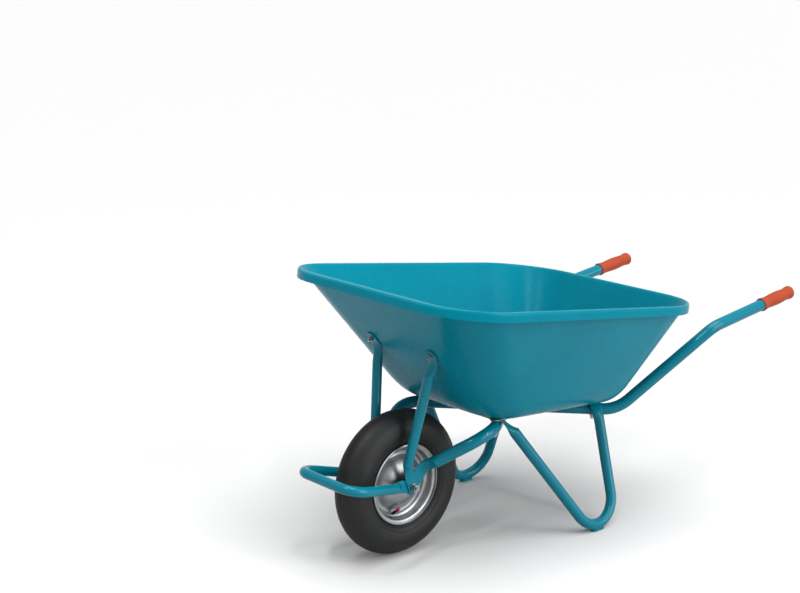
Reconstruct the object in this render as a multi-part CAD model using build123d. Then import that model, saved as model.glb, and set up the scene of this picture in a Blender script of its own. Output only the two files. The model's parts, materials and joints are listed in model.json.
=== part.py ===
"""A one-wheeled builder's wheelbarrow: moulded tray, crossed tube frame, bolted legs, pneumatic wheel.

Millimetres. +X points ahead, towards the wheel, +Y is the user's left and +Z is up. The origin is on
the ground, in the middle of the whole barrow. Most places are given as ahead of the axle, to the side
and above the ground, and the right-hand pieces are mirror images of the left-hand ones.
"""
from build123d import *
import os
from math import atan2, cos, hypot, pi, radians, sin, tan

# Overall
HANDLE_REACH = 1296.0       # from the axle back to the end of the grips
LOOP_REACH = 260.0          # from the axle ahead to the front of the loop
AXLE_X = (HANDLE_REACH - LOOP_REACH) / 2
RUN_GAP = 0.3               # between pieces that move past each other
CUTTER = 120.0              # length of a cutting shape that goes right through
TOUCH_GAP = 0.1             # between bolted pieces

# Tubes
FRAME_TUBE_R = 33.7 / 2
FRAME_TUBE_WALL = 2.0
THIN_TUBE_R = 26.9 / 2
THIN_TUBE_WALL = 2.0
LEG_TUBE_R = 30.0 / 2
LEG_TUBE_WALL = 2.0

# The tilted floor of the frame: the tubes' middle plane below the tray
FLOOR_TILT = 5.0            # degrees, nose up
CROSS_BACK = 416.0          # where the two frame tubes touch, behind the axle
CROSS_HEIGHT = 324.0
WELD_GAP = 0.6              # between the two frame tubes in the middle
WELD_LENGTH = 46.0
WELD_WIDTH = 21.0
WELD_HEIGHT = 27.0
WELD_MIDDLE = 15.0          # height of the unfilled middle between the upper and lower weld
BOLT_REAR_U = -193.0        # bolts, measured along the floor from where the tubes touch
BOLT_FRONT_U = 194.0
BOLT_REAR_V = 151.0
BOLT_FRONT_V = 150.0

# Frame tube corners, before rounding: ahead of the axle, to the side, above the ground (the two
# corners without a height lie in the frame's floor)
HANDLE_SIDE = 323.0
HANDLE_CORNER = (-928.0, HANDLE_SIDE, 525.0)
HANDLE_RISE = 44.0          # rise of the handle from its corner to the end of the grip
TURN_CORNER = (-665.0, 193.0)
FRONT_CORNER = (-163.0, 195.0)
FORK_START = (-61.0, 88.0, 263.0)  # where the tube starts to be pressed flat
HANDLE_BEND_R = 70.0
TURN_BEND_R = 110.0
CROSS_BEND_R = 60.0
FRONT_BEND_R = 75.0

# Axle and its stack of flattened tube ends, outwards from the hub
WHEEL_R = 200.0
AXLE_BOLT_R = 6.0
TAB_THICK = 4.0
TAB_SPREAD = 1.3            # width of a flattened tube end over the tube's diameter
LEG_TAB_SPREAD = 1.18       # the same on a leg
BEND_THICK = 1.5            # thickness of a flattened bend over the tab's thickness
FLAT_RUN = 8.0              # from a flattened end's bend to where it is fully flat
FLAT_OVERLAP = 1.0          # how far the tab reaches back into that flattened end
TAB_EDGE = 1.0              # how much narrower the tab's run is than its round end, each side
FRAME_TAB_Y = 57.2          # middle of the frame's flattened end
LOOP_TAB_Y = FRAME_TAB_Y + TAB_THICK + TOUCH_GAP
STRUT_TAB_Y = LOOP_TAB_Y + TAB_THICK + TOUCH_GAP

# Front loop and struts
LOOP_CORNER = (247.0, 122.0, 262.0)
LOOP_BEND_R = 45.0
LOOP_START_OUT = 3.0        # how far the round tube starts outside its flattened end
STRUT_FOOT = (20.0, 68.0, 266.0)    # the ends of its round part's middle line
STRUT_TOP = (-29.0, 108.0, 540.0)
STRUT_CRUSH = 30.0
BEND_OUT = 2.5              # how far a flattened bend stands away from what the tab lies on
STRUT_TAB_RUN = 24.0
STRUT_LEAN = 0.25
STRUT_BOLT_SIDE = 119.0
STRUT_BOLT_Z = 573.0
ROUND_START = 78.0          # from the axle to where a tube becomes round
AXLE_TAB_RUN = 32.0         # from the axle to where a flattened end bends
FRAME_TAB_RUN = 48.0

# Legs
LEG_CORNER = (-572.0, 318.0, -140.0)
LEG_BEND_R = 76.5
LEG_TAB_RUN = 24.0          # from the bolt to where the flattened end bends down
LEG_CRUSH = 46.0            # from that bend to where the tube is round
LEG_BEND_DROP = 9.0         # how far the middle of the flattened bend hangs below the tab
LEG_REAR_TAB = 68.0         # degrees to the left of straight ahead
LEG_FRONT_TAB = 142.0
SHOE_LENGTH = 46.0
SHOE_WIDTH = 20.0
SHOE_HEIGHT = 9.0
PATH_STEPS = 400            # places tried along the leg to find its lowest one

# Support plate
PLATE_LENGTH = 424.0
PLATE_WIDTH = 336.0
PLATE_CORNER_R = 6.0
PLATE_THICK = 2.0
RIB_WIDTH = 26.0
RIB_DEPTH = 3.2
END_RIBS = ((34.0, 218.0), (91.0, 132.0))   # inset from the edge, length
SIDE_RIBS = ((34.0, 258.0), (88.0, 100.0))

# Tray
TRAY_WALL = 4.0
RIM_FRONT = 111.0           # ahead of the axle
RIM_REAR = -868.0
RIM_HALF_WIDTH = 385.0
RIM_FRONT_Z = 752.0
RIM_REAR_Z = 610.0
RIM_FRONT_CORNER_R = 175.0
RIM_REAR_CORNER_R = 205.0
LIP_OUT = 20.0              # from the outside of the wall to the outside of the lip
LIP_DROP = 25.0
LIP_ROUND = 9.0
BASE_FRONT_U = 270.0        # along the floor from where the tubes touch
BASE_REAR_U = -275.0
BASE_HALF_WIDTH = 210.0
BASE_FRONT_CORNER_R = 95.0
BASE_REAR_CORNER_R = 90.0
BASE_ROUND = 70.0
WALL_LEAN = 31.0            # the walls' usual lean from upright, degrees

# Wheel
TYRE_HALF_WIDTH = 49.0
TYRE_BEAD_HALF = 30.4
TYRE_WIDEST_R = 148.0
SHOULDER_DROP = 18.0
SHOULDER_IN = 12.0
TYRE_WALL = 6.0
GROOVES_PER_SIDE = 4
GROOVE_PITCH = 7.5
GROOVE_WIDTH = 1.8
GROOVE_DEPTH = 2.0
GROOVE_FALL = 0.9
TUBE_MIDDLE_R = 148.0
TUBE_HALF_WIDTH = 39.0
TUBE_HALF_HEIGHT = 38.0
TUBE_SKIN = 2.0
RIM_FLANGE_R = 112.0
RIM_SEAT_R = 101.0
RIM_SHEET = 2.0
SEAT_GAP = 0.5              # between the tyre's bead and the rim
BEAD_WIDTH = 8.0
RIM_HALF_LINE = [
    (38.0, 108.0), (37.0, 111.0), (34.5, 111.5), (32.6, 109.0), (32.0, 101.5), (29.5, 99.6),
    (17.0, 98.6), (12.0, 96.0), (8.5, 89.5), (1.2, 88.0), (1.2, 76.0), (8.0, 71.0),
    (17.0, 64.0), (25.0, 54.0), (30.5, 42.0), (32.5, 31.0), (33.0, 20.5),
]
HUB_BORE_R = 15.0
HUB_WALL = 4.4
HUB_HALF = 47.0
SLEEVE_R = 10.0
ROLLER_R = 2.47
ROLLER_LENGTH = 20.0
ROLLER_COUNT = 10
ROLLER_Y = 32.0
CAGE_GAP = 0.8              # between the cage and the sleeve inside it, and the hub outside it
CAGE_END = 3.0              # solid ring at each end of the cage
CAP_WALL = 3.0
CAP_SKIRT = 8.0             # how far a dust cap reaches back over the hub
SLEEVE_BORE_GAP = 0.3
VALVE_ANGLE = -75.0         # around the axle from straight ahead, degrees
VALVE_FOOT_R = 90.0
VALVE_FOOT_Y = 5.0
VALVE_LEAN = 50.0
VALVE_R = 4.0
VALVE_LENGTH = 30.0
VALVE_PLAY = 0.4            # between the stem and its hole in the rim
VALVE_ROOT = 6.0            # how much of the stem lies inside the rim
VALVE_NECK = 6.0            # length of the thread under the cap
NECK_RATIO = 0.6            # the thread's radius over the stem's
CAP_LENGTH = 9.0

# Grips
GRIP_LENGTH = 146.0
GRIP_END_WALL = 5.0
GRIP_PROFILE = [
    (0.0, 10.0), (2.5, 16.5), (11.0, 20.0), (24.0, 18.6), (38.0, 18.0), (62.0, 19.8),
    (90.0, 19.6), (112.0, 18.0), (126.0, 18.1), (138.0, 19.6), (146.0, 20.2),
]

# Fasteners
BOLT_PLAY = 0.25
BOLT_TAIL = 6.0             # how far a bolt's thread stands out of its nut
TRAY_BOLT_R = 4.0
TRAY_HEAD_R = 9.0
CUP_HEIGHT = 4.0
TRAY_WASHER_R = 10.0
TRAY_WASHER_THICK = 2.0
TRAY_NUT_AF = 13.0
TRAY_NUT_THICK = 6.5
AXLE_WASHER_R = 12.0
AXLE_WASHER_THICK = 2.5
AXLE_NUT_AF = 19.0
AXLE_NUT_THICK = 10.0
AXLE_HEAD_THICK = 7.5


def at(ahead, side, height):
    """Point at a distance ahead of the axle, to the left and above the ground."""
    return Vector(AXLE_X + ahead, side, height)


def floor_height(ahead):
    """Height of the frame tubes' middle plane at a distance ahead of the axle."""
    return CROSS_HEIGHT + (ahead + CROSS_BACK) * tan(radians(FLOOR_TILT))


TILT = radians(FLOOR_TILT)
FLOOR = Plane(
    at(-CROSS_BACK, 0, CROSS_HEIGHT),
    x_dir=(cos(TILT), 0, sin(TILT)),
    z_dir=(-sin(TILT), 0, cos(TILT)),
)
RIM_TILT = atan2(RIM_FRONT_Z - RIM_REAR_Z, RIM_FRONT - RIM_REAR)
RIM_LENGTH = hypot(RIM_FRONT_Z - RIM_REAR_Z, RIM_FRONT - RIM_REAR)
RIM = Plane(
    at((RIM_FRONT + RIM_REAR) / 2, 0, (RIM_FRONT_Z + RIM_REAR_Z) / 2),
    x_dir=(cos(RIM_TILT), 0, sin(RIM_TILT)),
    z_dir=(-sin(RIM_TILT), 0, cos(RIM_TILT)),
)
LEG_TOPS = ((BOLT_FRONT_U, BOLT_FRONT_V, LEG_FRONT_TAB), (BOLT_REAR_U, BOLT_REAR_V, LEG_REAR_TAB))
LEG_TAB_W = FRAME_TUBE_R + TOUCH_GAP + TAB_THICK / 2
PLATE_W = LEG_TAB_W + TAB_THICK / 2 + TOUCH_GAP
TRAY_W = PLATE_W + PLATE_THICK + TOUCH_GAP
BOLT_PAIRS = ((BOLT_REAR_U, BOLT_REAR_V), (BOLT_FRONT_U, BOLT_FRONT_V))
BOLT_PLACES = [(u, side * v) for u, v in BOLT_PAIRS for side in (1, -1)]


def on_floor(u, v, w):
    """World point of a place on the tilted floor."""
    return FLOOR.from_local_coords(Vector(u, v, w))


def other_side(piece):
    """Mirror image of a left-hand piece."""
    return mirror(piece, Plane.XZ)


def facing(point, direction, width=None):
    """Plane through a point that faces along a direction, its x axis as near to width as can be."""
    if width is None:
        return Plane(point, z_dir=direction)
    z_dir = direction.normalized()
    return Plane(point, x_dir=width - z_dir * width.dot(z_dir), z_dir=z_dir)


def straight_pipe(start, end, outer, wall):
    """Straight round tube between two points."""
    run = end - start
    tube = extrude(facing(start, run) * Circle(outer), run.length)
    return tube - extrude(facing(start, run) * Circle(outer - wall), run.length)


def bent_pipe(points, radii, outer, wall):
    """Round tube along straight runs joined by bends."""
    path = FilletPolyline(*points, radius=radii)
    start = facing(path @ 0, path % 0)
    return sweep(start * Circle(outer), path=path) - sweep(start * Circle(outer - wall), path=path)


def crushed_end(start, direction, tube_r, corner, flat_start, flat_direction, width, spread=TAB_SPREAD):
    """Tube end pressed flat: from a circle, through a flattened bend at corner, to a thin oval."""
    circle = facing(start, direction, width) * Circle(tube_r)
    bend = facing(corner, direction.normalized() + flat_direction.normalized(), width)
    bend_oval = bend * Ellipse(tube_r * spread, TAB_THICK * BEND_THICK / 2)
    flat_oval = facing(flat_start, flat_direction, width) * Ellipse(tube_r * spread, TAB_THICK / 2)
    return loft([circle, bend_oval, flat_oval])


def tab(plane, run, hole_r, tube_r, spread=TAB_SPREAD):
    """Flat plate around a bolt at the plane's origin, running along its -x side to a bend at run."""
    half_width = tube_r * spread
    length = run - FLAT_RUN + FLAT_OVERLAP
    shape = Circle(half_width) + Pos(-length / 2, 0) * Rectangle(length, 2 * (half_width - TAB_EDGE))
    return plane * Pos(0, 0, -TAB_THICK / 2) * extrude(shape - Circle(hole_r), TAB_THICK)


def axle_end(tube_start, tube_direction, tube_r, tab_y, tab_run=AXLE_TAB_RUN):
    """Crushed tube end that finishes as a flat tab around the axle, in the plane at tab_y."""
    centre = at(0, tab_y, WHEEL_R)
    run = Vector(tube_start.X - centre.X, 0, tube_start.Z - centre.Z).normalized()
    width = run.cross(Vector(0, 1, 0))
    corner = centre + run * tab_run
    flat_start = centre + run * (tab_run - FLAT_RUN)
    end = crushed_end(tube_start, tube_direction, tube_r, corner, flat_start, run * -1, width)
    plane = Plane(centre, x_dir=run * -1, z_dir=(0, 1, 0))
    return end + tab(plane, tab_run, AXLE_BOLT_R + BOLT_PLAY, tube_r)


def frame_path(side=1):
    """Middle line of a frame tube: handle, turn, touch in the middle, front corner, fork."""
    handle_end = (-HANDLE_REACH + GRIP_END_WALL, HANDLE_SIDE, HANDLE_CORNER[2] + HANDLE_RISE)
    turn = (*TURN_CORNER, floor_height(TURN_CORNER[0]))
    front = (*FRONT_CORNER, floor_height(FRONT_CORNER[0]))
    corners = [handle_end, HANDLE_CORNER, turn, cross_corner(), front, FORK_START]
    points = [at(ahead, s * side, height) for ahead, s, height in corners]
    return FilletPolyline(*points, radius=[HANDLE_BEND_R, TURN_BEND_R, CROSS_BEND_R, FRONT_BEND_R])


def cross_corner():
    """Corner of the frame tube before rounding, set so that the rounded tubes touch in the middle."""
    back = atan2(TURN_CORNER[1], -CROSS_BACK - TURN_CORNER[0])
    ahead = atan2(FRONT_CORNER[1], FRONT_CORNER[0] + CROSS_BACK)
    half_angle = (pi - back - ahead) / 2
    inset = CROSS_BEND_R * (1 / sin(half_angle) - 1)
    return (-CROSS_BACK, FRAME_TUBE_R + WELD_GAP / 2 - inset, CROSS_HEIGHT)


def frame_rod(side, radius):
    """Solid rod along a frame tube's middle line."""
    path = frame_path(side)
    return sweep(facing(path @ 0, path % 0) * Circle(radius), path=path)


def floor_bolt_holes(radius):
    """Holes square to the floor at the four bolts."""
    return [FLOOR * Pos(u, v, 0) * Cylinder(radius, CUTTER) for u, v in BOLT_PLACES]


def frame_tube_left():
    """Handle, run under the tray to the middle, out to the front corner and in to the axle."""
    path = frame_path()
    tube = frame_rod(1, FRAME_TUBE_R) - frame_rod(1, FRAME_TUBE_R - FRAME_TUBE_WALL)
    tube += axle_end(path @ 1, path % 1, FRAME_TUBE_R, FRAME_TAB_Y, FRAME_TAB_RUN)
    return tube - floor_bolt_holes(TRAY_BOLT_R + BOLT_PLAY)


def centre_weld():
    """Weld beads above and below, in the grooves between the touching tubes."""
    block = FLOOR * Box(WELD_LENGTH, WELD_WIDTH, WELD_HEIGHT)
    block -= FLOOR * Box(CUTTER, CUTTER, WELD_MIDDLE)
    return block - frame_rod(1, FRAME_TUBE_R) - frame_rod(-1, FRAME_TUBE_R)


def front_loop():
    """Bumper loop ahead of the wheel, with a flat tab around the axle at each end."""
    start = loop_start(1)
    corners = [start, at(*LOOP_CORNER), at(LOOP_CORNER[0], -LOOP_CORNER[1], LOOP_CORNER[2]), loop_start(-1)]
    loop = bent_pipe(corners, [LOOP_BEND_R, LOOP_BEND_R], THIN_TUBE_R, THIN_TUBE_WALL)
    end = axle_end(start, start - corners[1], THIN_TUBE_R, LOOP_TAB_Y)
    return loop + end + other_side(end)


def loop_start(side):
    """Where the round part of the loop begins, beside the wheel."""
    corner = Vector(*LOOP_CORNER)
    axle = Vector(0, LOOP_TAB_Y + LOOP_START_OUT, WHEEL_R)
    place = axle + (corner - axle) * (ROUND_START / (corner - axle).length)
    return at(place.X, place.Y * side, place.Z)


def front_wall():
    """Plane on the outside of the tray's front wall: x up the wall, z outwards, y to the right."""
    low = on_floor(BASE_FRONT_U, 0, TRAY_W)
    high = RIM.from_local_coords(Vector(RIM_LENGTH / 2 - LIP_OUT, 0, 0))
    up = (high - low).normalized()
    return Plane(low, x_dir=up, z_dir=(up.Z, 0, -up.X))


def strut_bolt_place():
    """Distance up the front wall and to the side of the left strut's bolt."""
    wall = front_wall()
    return (STRUT_BOLT_Z - wall.origin.Z) / wall.x_dir.Z, STRUT_BOLT_SIDE


def strut_left():
    """Tube from the axle up to a flattened end that is bolted to the tray's front wall."""
    low = at(*STRUT_FOOT)
    run = (at(*STRUT_TOP) - low).normalized()
    high = at(*STRUT_TOP) - run * STRUT_CRUSH
    strut = straight_pipe(low, high, THIN_TUBE_R, THIN_TUBE_WALL)
    strut += axle_end(low, run * -1, THIN_TUBE_R, STRUT_TAB_Y)
    wall = front_wall()
    up, side = strut_bolt_place()
    bolt = wall.from_local_coords(Vector(up, -side, TOUCH_GAP + TAB_THICK / 2))
    lean = (wall.x_dir + Vector(0, STRUT_LEAN, 0)).normalized()
    corner = bolt - lean * STRUT_TAB_RUN + wall.z_dir * BEND_OUT
    flat_start = bolt - lean * (STRUT_TAB_RUN - FLAT_RUN)
    strut += crushed_end(high, run, THIN_TUBE_R, corner, flat_start, lean, Vector(0, 1, 0))
    plane = Plane(bolt, x_dir=lean, z_dir=wall.z_dir)
    return strut + tab(plane, STRUT_TAB_RUN, TRAY_BOLT_R + BOLT_PLAY, THIN_TUBE_R)


def leg_left():
    """Bent tube from the front bolt down to the ground and up to the rear bolt, flat against the plate."""
    foot = at(*LEG_CORNER)
    front = leg_top(BOLT_FRONT_U, BOLT_FRONT_V, LEG_FRONT_TAB)
    rear = leg_top(BOLT_REAR_U, BOLT_REAR_V, LEG_REAR_TAB)
    ends = []
    starts = []
    for bolt, corner, out in (front, rear):
        down = (foot - corner).normalized()
        start = corner + down * LEG_CRUSH
        width = down.cross(out).normalized()
        bend = corner - FLOOR.z_dir * LEG_BEND_DROP
        flat_start = corner - out * FLAT_RUN
        end = crushed_end(start, down * -1, LEG_TUBE_R, bend, flat_start, out * -1, width, LEG_TAB_SPREAD)
        plane = Plane(bolt, x_dir=out * -1, z_dir=FLOOR.z_dir)
        ends.append(end + tab(plane, LEG_TAB_RUN, TRAY_BOLT_R + BOLT_PLAY, LEG_TUBE_R, LEG_TAB_SPREAD))
        starts.append(start)
    leg = bent_pipe([starts[0], foot, starts[1]], [LEG_BEND_R], LEG_TUBE_R, LEG_TUBE_WALL)
    for end in ends:
        leg += end
    plate = FLOOR * Pos(0, 0, PLATE_W - TOUCH_GAP / 2 + CUTTER / 2)
    return leg - plate * Box(2 * PLATE_LENGTH, 3 * PLATE_WIDTH, CUTTER)


def leg_top(u, v, heading):
    """Bolt centre, bend corner and outward direction of a leg's flattened end."""
    bolt = on_floor(u, v, LEG_TAB_W)
    out = (FLOOR.x_dir * cos(radians(heading)) + Vector(0, 1, 0) * sin(radians(heading))).normalized()
    return bolt, bolt + out * LEG_TAB_RUN, out


def leg_path():
    """Left leg's middle line between its two flattened bends."""
    front, rear = [leg_top(u, v, heading)[1] for u, v, heading in LEG_TOPS]
    return FilletPolyline(front, at(*LEG_CORNER), rear, radius=LEG_BEND_R)


def foot_shoe_left():
    """Wear shoe welded under the bend of the leg, flat underneath."""
    path = leg_path()
    where = min((step / PATH_STEPS for step in range(PATH_STEPS + 1)), key=lambda part: (path @ part).Z)
    low = path @ where
    run = path % where
    plane = Plane((low.X, low.Y, SHOE_HEIGHT / 2), x_dir=(run.X, run.Y, 0), z_dir=(0, 0, 1))
    block = extrude(plane * Pos(0, 0, -SHOE_HEIGHT / 2) * SlotOverall(SHOE_LENGTH, SHOE_WIDTH), SHOE_HEIGHT)
    return block - sweep(facing(path @ 0, path % 0) * Circle(LEG_TUBE_R), path=path)


def rounded_rect(length, width, front_r, rear_r):
    """Rectangle centred on the origin, x ahead, with its own radius at the front and rear corners."""
    shape = Rectangle(length, width)
    shape = fillet(shape.vertices().group_by(Axis.X)[-1], front_r)
    return fillet(shape.vertices().group_by(Axis.X)[0], rear_r)


def slot_rib(u, v, length, turn):
    """Pressed rib: a raised stadium on the underside of the plate."""
    shape = SlotOverall(length, RIB_WIDTH)
    low = PLATE_W - RIB_DEPTH
    rib = extrude(FLOOR * Pos(u, v, low) * Rot(0, 0, turn) * shape, RIB_DEPTH)
    hollow = SlotOverall(length - 2 * PLATE_THICK, RIB_WIDTH - 2 * PLATE_THICK)
    return rib, extrude(FLOOR * Pos(u, v, low + PLATE_THICK) * Rot(0, 0, turn) * hollow, RIB_DEPTH)


def support_plate():
    """Galvanised sheet under the tray, stiffened by pressed ribs around its middle."""
    sheet = rounded_rect(PLATE_LENGTH, PLATE_WIDTH, PLATE_CORNER_R, PLATE_CORNER_R)
    plate = extrude(FLOOR * Pos(0, 0, PLATE_W) * sheet, PLATE_THICK)
    ribs = [(u * (PLATE_LENGTH / 2 - inset), 0, length, 90) for u in (1, -1) for inset, length in END_RIBS]
    ribs += [(0, v * (PLATE_WIDTH / 2 - inset), length, 0) for v in (1, -1) for inset, length in SIDE_RIBS]
    raised = [slot_rib(*rib) for rib in ribs]
    for rib, _ in raised:
        plate += rib
    for _, hollow in raised:
        plate -= hollow
    return plate - floor_bolt_holes(TRAY_BOLT_R + BOLT_PLAY)


def tray_bowl(inset):
    """Bowl between the base on the floor and the rim, drawn in by an inset on every side."""
    lean = radians(WALL_LEAN)
    draw = inset * (1 - sin(lean)) / cos(lean)
    base = rounded_rect(
        BASE_FRONT_U - BASE_REAR_U - 2 * draw,
        2 * (BASE_HALF_WIDTH - draw),
        BASE_FRONT_CORNER_R - draw,
        BASE_REAR_CORNER_R - draw,
    )
    low = FLOOR * Pos((BASE_FRONT_U + BASE_REAR_U) / 2, 0, TRAY_W + inset) * base
    high = RIM * rim_outline(LIP_OUT + inset / cos(lean))
    bowl = loft([low, high])
    floor_edges = bowl.faces().sort_by(Axis.Z)[0].edges()
    return fillet(floor_edges, BASE_ROUND - inset)


def rim_outline(inset):
    """Outline of the rim, drawn in by an inset."""
    return rounded_rect(
        RIM_LENGTH - 2 * inset,
        2 * (RIM_HALF_WIDTH - inset),
        RIM_FRONT_CORNER_R - inset,
        RIM_REAR_CORNER_R - inset,
    )


def tray():
    """Moulded bowl with a lip that turns out and down around the rim."""
    lip = extrude(RIM * rim_outline(0), -LIP_DROP)
    top = lip.faces().sort_by(Axis(RIM.origin, RIM.z_dir))[-1]
    lip = fillet(top.edges(), LIP_ROUND)
    channel = extrude(RIM * Pos(0, 0, -TRAY_WALL) * rim_outline(TRAY_WALL), -LIP_DROP)
    channel_top = channel.faces().sort_by(Axis(RIM.origin, RIM.z_dir))[-1]
    channel = fillet(channel_top.edges(), LIP_ROUND - TRAY_WALL)
    shell = (lip - channel) + tray_bowl(0)
    shell -= tray_bowl(TRAY_WALL)
    return shell - floor_bolt_holes(TRAY_BOLT_R + BOLT_PLAY) - strut_bolt_holes()


def strut_bolt_holes():
    """Holes square to the front wall at the two strut bolts."""
    up, side = strut_bolt_place()
    hole = Cylinder(TRAY_BOLT_R + BOLT_PLAY, CUTTER)
    return [front_wall() * Pos(up, s * side, 0) * hole for s in (1, -1)]


def spun(points, axle_y=0.0):
    """Body of revolution about the axle from a closed outline of (distance along it, radius) points."""
    place = Plane(at(0, axle_y, WHEEL_R), x_dir=(0, 1, 0), z_dir=(1, 0, 0))
    return revolve(place * make_face(Polyline(*points, close=True)), Axis(at(0, 0, WHEEL_R), (0, 1, 0)))


def ring(y_low, y_high, inner_r, outer_r):
    """Plain ring or disc around the axle."""
    points = [(y_low, inner_r), (y_high, inner_r), (y_high, outer_r), (y_low, outer_r)]
    return spun(points)


def tyre_outline(inset):
    """Section of the tyre, drawn in by an inset: bead to bead over the tread."""
    half = TYRE_HALF_WIDTH - inset
    bead = TYRE_BEAD_HALF - inset
    shoulder_r = WHEEL_R - SHOULDER_DROP
    right = [(bead, RIM_SEAT_R + SEAT_GAP + inset), (bead, RIM_FLANGE_R - 2)]
    shoulder = (half - SHOULDER_IN, shoulder_r - inset)
    curve_low = ThreePointArc(right[1], (half, TYRE_WIDEST_R), shoulder)
    crown = ThreePointArc(shoulder, (0, WHEEL_R - inset), (-shoulder[0], shoulder[1]))
    left = mirror(curve_low, Plane.YZ)
    sides = [Line(right[0], right[1]), mirror(Line(right[0], right[1]), Plane.YZ)]
    floor = Line(right[0], (-right[0][0], right[0][1]))
    return make_face([curve_low, crown, left, floor] + sides)


def tyre():
    """Hollow tyre with ribs running around its tread."""
    place = Plane(at(0, 0, WHEEL_R), x_dir=(0, 1, 0), z_dir=(1, 0, 0))
    axle = Axis(at(0, 0, WHEEL_R), (0, 1, 0))
    section = tyre_outline(0) - tyre_outline(TYRE_WALL)
    section -= Pos(0, RIM_SEAT_R) * Rectangle(2 * (TYRE_BEAD_HALF - BEAD_WIDTH), CUTTER / 4)
    for k in range(-GROOVES_PER_SIDE, GROOVES_PER_SIDE + 1):
        groove = Pos(k * GROOVE_PITCH, WHEEL_R - abs(k) * GROOVE_FALL)
        section -= groove * Rectangle(GROOVE_WIDTH, 2 * GROOVE_DEPTH)
    return revolve(place * section, axle)


def inner_tube():
    """Inflated tube that fills the tyre, a thin closed ring."""
    place = Plane(at(0, 0, WHEEL_R), x_dir=(0, 1, 0), z_dir=(1, 0, 0))
    outside = Pos(0, TUBE_MIDDLE_R) * Ellipse(TUBE_HALF_WIDTH, TUBE_HALF_HEIGHT)
    inside = Pos(0, TUBE_MIDDLE_R) * Ellipse(TUBE_HALF_WIDTH - TUBE_SKIN, TUBE_HALF_HEIGHT - TUBE_SKIN)
    return revolve(place * (outside - inside), Axis(at(0, 0, WHEEL_R), (0, 1, 0)))


def sheet_ring(mid_line, thickness):
    """Spun sheet: a ring whose section follows mid_line, an open list of (along, radius) points."""
    half = thickness / 2
    sides = []
    for sign in (1, -1):
        side = []
        for k, (y, r) in enumerate(mid_line):
            before = Vector(*mid_line[max(k - 1, 0)])
            after = Vector(*mid_line[min(k + 1, len(mid_line) - 1)])
            run = (after - before).normalized()
            side.append((y - sign * half * run.Y, r + sign * half * run.X))
        sides.append(side)
    return spun(sides[0] + sides[1][::-1])


def rim_half_left():
    """Pressed half of the wheel's rim: rolled edge, bead seat, well and domed disc."""
    half = sheet_ring(RIM_HALF_LINE, RIM_SHEET)
    return half - valve_hole()


def valve_frame():
    """Plane at the foot of the valve, its z axis along the stem."""
    angle = radians(VALVE_ANGLE)
    out = Vector(cos(angle), 0, sin(angle))
    foot = at(0, 0, WHEEL_R) + out * VALVE_FOOT_R + Vector(0, VALVE_FOOT_Y, 0)
    lean = radians(VALVE_LEAN)
    return Plane(foot, z_dir=Vector(0, sin(lean), 0) - out * cos(lean))


def valve_hole():
    """Hole through the rim for the valve stem."""
    return valve_frame() * Cylinder(VALVE_R + VALVE_PLAY, VALVE_LENGTH)


def valve_stem():
    """Rubber valve stem on its foot inside the rim."""
    stem = Pos(0, 0, VALVE_LENGTH / 2 - VALVE_ROOT) * Cylinder(VALVE_R, VALVE_LENGTH)
    neck = Pos(0, 0, VALVE_LENGTH - VALVE_ROOT + VALVE_NECK / 2) * Cylinder(VALVE_R * NECK_RATIO, VALVE_NECK)
    return valve_frame() * (stem + neck)


def valve_cap():
    """Cap over the valve's thread."""
    cap = Cylinder(VALVE_R * 1.05, CAP_LENGTH)
    cap -= Pos(0, 0, -2) * Cylinder(VALVE_R * NECK_RATIO + TOUCH_GAP, CAP_LENGTH - 1)
    middle = VALVE_LENGTH - VALVE_ROOT + CAP_LENGTH / 2 + TOUCH_GAP
    return valve_frame() * Pos(0, 0, middle) * chamfer(cap.edges().sort_by(Axis.Z)[-1], 1)


def hub_tube():
    """Tube that carries the rim halves and holds the two roller cages."""
    return ring(-HUB_HALF, HUB_HALF, HUB_BORE_R, HUB_BORE_R + HUB_WALL)


def roller_cage_left():
    """Plastic cage with a window for each roller."""
    reach = ROLLER_LENGTH / 2 + CAGE_END
    cage = ring(ROLLER_Y - reach, ROLLER_Y + reach, SLEEVE_R + CAGE_GAP, HUB_BORE_R - CAGE_GAP)
    for place in roller_places():
        cage -= place * Box(2 * ROLLER_R + TOUCH_GAP, ROLLER_LENGTH + TOUCH_GAP, HUB_BORE_R)
    return cage


def roller_places():
    """Where each roller of the left cage sits, turned to face the axle."""
    middle_r = (SLEEVE_R + HUB_BORE_R) / 2
    axle = at(0, ROLLER_Y, WHEEL_R)
    turn = 360 / ROLLER_COUNT
    return [Pos(axle) * Rot(0, k * turn, 0) * Pos(0, 0, middle_r) for k in range(ROLLER_COUNT)]


def rollers_left():
    """Steel rollers that run between the sleeve and the hub."""
    roller = Rot(90, 0, 0) * Cylinder(ROLLER_R, ROLLER_LENGTH)
    return Compound(children=[place * roller for place in roller_places()])


def axle_sleeve():
    """Fixed tube that the rollers run on, clamped between the frame's flattened ends."""
    reach = FRAME_TAB_Y - TAB_THICK / 2 - TOUCH_GAP
    return ring(-reach, reach, AXLE_BOLT_R + SLEEVE_BORE_GAP, SLEEVE_R)


def dust_cap_left():
    """Cap on the end of the hub that keeps the grease in."""
    hole = SLEEVE_R + RUN_GAP
    hub = HUB_BORE_R + HUB_WALL + TOUCH_GAP
    inside = HUB_HALF + TOUCH_GAP
    outside = HUB_HALF + CAP_WALL
    skirt = HUB_HALF - CAP_SKIRT
    outer = hub + CAP_WALL * 0.6
    front = [(inside, hole), (outside, hole), (outside, outer)]
    return spun(front + [(skirt, outer), (skirt, hub), (inside, hub)])


def hexagon_prism(across_flats, height):
    """Hexagonal prism standing on the XY plane."""
    return extrude(RegularPolygon(across_flats / 2, 6, major_radius=False), height)


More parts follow.
